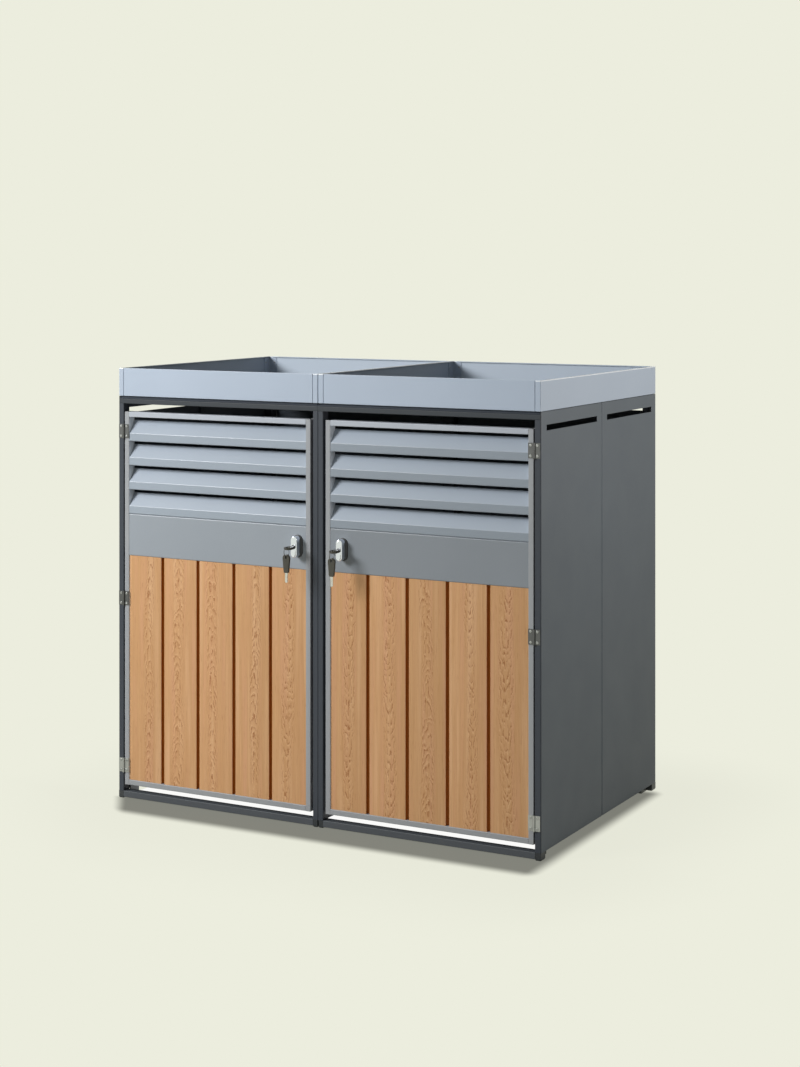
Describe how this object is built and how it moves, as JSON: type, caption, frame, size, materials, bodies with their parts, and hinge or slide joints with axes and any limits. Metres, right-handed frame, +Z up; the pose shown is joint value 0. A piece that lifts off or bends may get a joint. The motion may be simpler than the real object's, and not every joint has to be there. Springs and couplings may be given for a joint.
{
  "type": "wheelie bin store",
  "caption": "Folded steel cabinet that hides wheeled bins, with louvred and wood-boarded doors, cam locks and open planter trays on top.",
  "frame": {"origin": "on the ground, at the middle of the whole object's length and depth, keys included", "axes": "+X along the length, to the right as seen from the doors; +Y from the doors to the back; +Z up"},
  "size_m": [1.34, 0.8729, 1.238],
  "materials": {
    "cabinet_paint": "fine textured anthracite powder coat",
    "tray_paint": "smooth satin blue-grey coat",
    "door_paint": "smooth satin grey coat",
    "oak": "oiled, with straight upright grain",
    "zinc": "zinc plated",
    "chrome": "polished chrome plate",
    "black_metal": "satin black",
    "black_plastic": "moulded, slightly glossy"
  },
  "bodies": {
    "cabinet": {"left_front_post": "cabinet_paint", "right_front_post": "cabinet_paint", "left_centre_post": "cabinet_paint", "right_centre_post": "cabinet_paint", "back_posts": "cabinet_paint", "base_rails": "cabinet_paint", "left_top_rail": "cabinet_paint", "right_top_rail": "cabinet_paint", "side_rails": "cabinet_paint", "centre_rails": "cabinet_paint", "back_rails": "cabinet_paint", "left_front_side_panel": "cabinet_paint", "right_front_side_panel": "cabinet_paint", "left_rear_side_panel": "cabinet_paint", "right_rear_side_panel": "cabinet_paint", "left_back_panel": "cabinet_paint", "right_back_panel": "cabinet_paint", "left_roof_deck": "cabinet_paint", "right_roof_deck": "cabinet_paint", "door_stops": "cabinet_paint", "left_tray_sides": "tray_paint", "left_tray_front": "tray_paint", "left_tray_back": "tray_paint", "right_tray_sides": "tray_paint", "right_tray_front": "tray_paint", "right_tray_back": "tray_paint", "foot_caps": "black_plastic", "tray_corner_angles": "zinc", "tray_corner_screws": "zinc", "floor_anchors": "zinc", "post_hinges": "zinc", "post_hinge_screws": "zinc"},
    "left_door": {"left_door_hinge_stile": "door_paint", "left_door_lock_stile": "door_paint", "left_door_cross_rails": "door_paint", "left_louvres": "door_paint", "left_lock_panel": "door_paint", "left_door_battens": "door_paint", "left_door_boards": "oak", "left_door_hinge_leaves": "zinc", "left_door_hinge_screws": "zinc", "left_lock_case": "black_metal"},
    "left_knob": {"left_knob": "chrome", "left_cam": "zinc"},
    "left_key": {"left_key": "black_plastic"},
    "left_spare_key": {"left_spare_key": "black_plastic"},
    "right_door": {"right_door_hinge_stile": "door_paint", "right_door_lock_stile": "door_paint", "right_door_cross_rails": "door_paint", "right_louvres": "door_paint", "right_lock_panel": "door_paint", "right_door_battens": "door_paint", "right_door_boards": "oak", "right_door_hinge_leaves": "zinc", "right_door_hinge_screws": "zinc", "right_lock_case": "black_metal"},
    "right_knob": {"right_knob": "chrome", "right_cam": "zinc"},
    "right_key": {"right_key": "black_plastic"},
    "right_spare_key": {"right_spare_key": "black_plastic"}
  },
  "joints": [
    {"name": "left_door_hinge", "type": "hinge", "parent": "cabinet", "child": "left_door", "pos_m": [-0.651, -0.36675, 0.5765], "axis": [0, 0, -1], "range_deg": [0, 170]},
    {"name": "left_knob_turn", "type": "hinge", "parent": "left_door", "child": "left_knob", "pos_m": [-0.064, -0.36355, 0.764], "axis": [0, 1, 0], "range_deg": [0, 90]},
    {"name": "left_key_pull", "type": "slide", "parent": "left_knob", "child": "left_key", "axis": [0, -1, 0], "range_m": [0, 0.028]},
    {"name": "left_spare_key_swing", "type": "hinge", "parent": "left_key", "child": "left_spare_key", "pos_m": [-0.064, -0.42255, 0.7562], "axis": [1, 0, 0], "range_deg": [-25, 25]},
    {"name": "right_door_hinge", "type": "hinge", "parent": "cabinet", "child": "right_door", "pos_m": [0.651, -0.36675, 0.5765], "axis": [0, 0, 1], "range_deg": [0, 170]},
    {"name": "right_knob_turn", "type": "hinge", "parent": "right_door", "child": "right_knob", "pos_m": [0.079, -0.36355, 0.764], "axis": [0, -1, 0], "range_deg": [0, 90]},
    {"name": "right_key_pull", "type": "slide", "parent": "right_knob", "child": "right_key", "axis": [0, -1, 0], "range_m": [0, 0.028]},
    {"name": "right_spare_key_swing", "type": "hinge", "parent": "right_key", "child": "right_spare_key", "pos_m": [0.079, -0.42255, 0.7562], "axis": [1, 0, 0], "range_deg": [-25, 25]}
  ]
}
